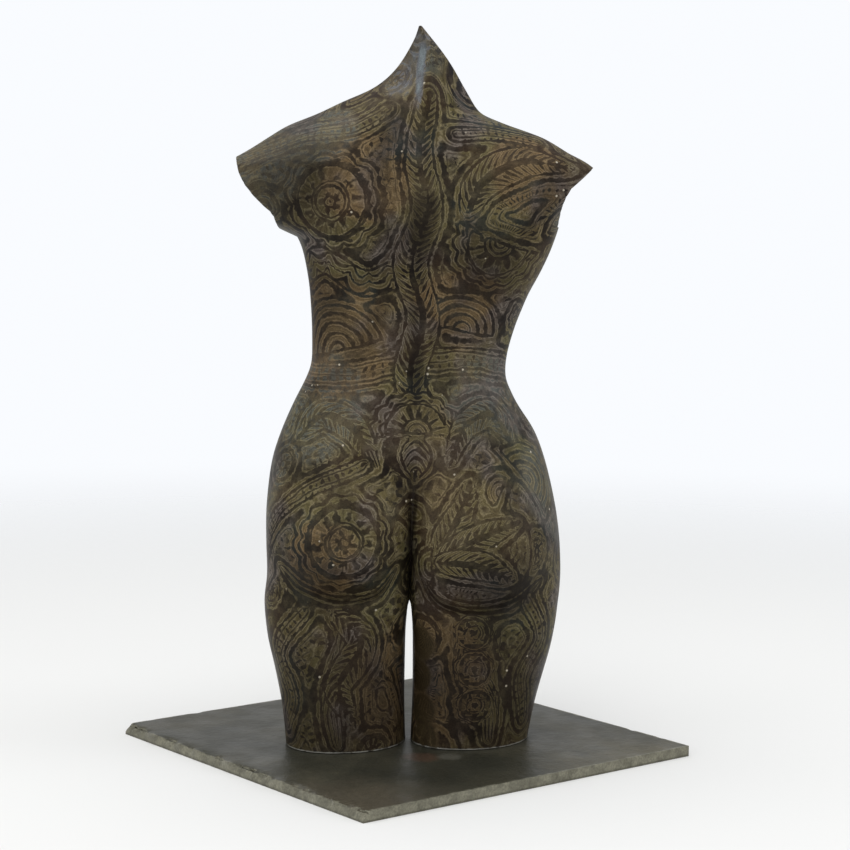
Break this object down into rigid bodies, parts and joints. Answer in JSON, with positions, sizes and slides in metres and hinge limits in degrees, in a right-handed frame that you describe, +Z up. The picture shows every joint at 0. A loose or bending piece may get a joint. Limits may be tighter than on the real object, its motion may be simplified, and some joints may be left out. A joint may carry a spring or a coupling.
{
  "type": "female torso sculpture",
  "caption": "Freestanding female torso with neck, upper arms and thighs cut short, dark body with freehand ornament, on a thin square slate slab.",
  "frame": {"origin": "middle of the slab's flat underside, which is also the middle of the box's bottom face", "axes": "+Z up; the figure faces -Y and its own left side is +X; the slab is turned 38.6 degrees about +Z against the figure"},
  "size_m": [0.421, 0.421, 0.5286],
  "materials": {
    "patinated_body": "satin, olive brown patina with dark brown brush ornament",
    "slate": "matt, split slate with chipped edges"
  },
  "bodies": {
    "root": {"torso": "patinated_body", "base_slab": "slate"}
  },
  "joints": []
}
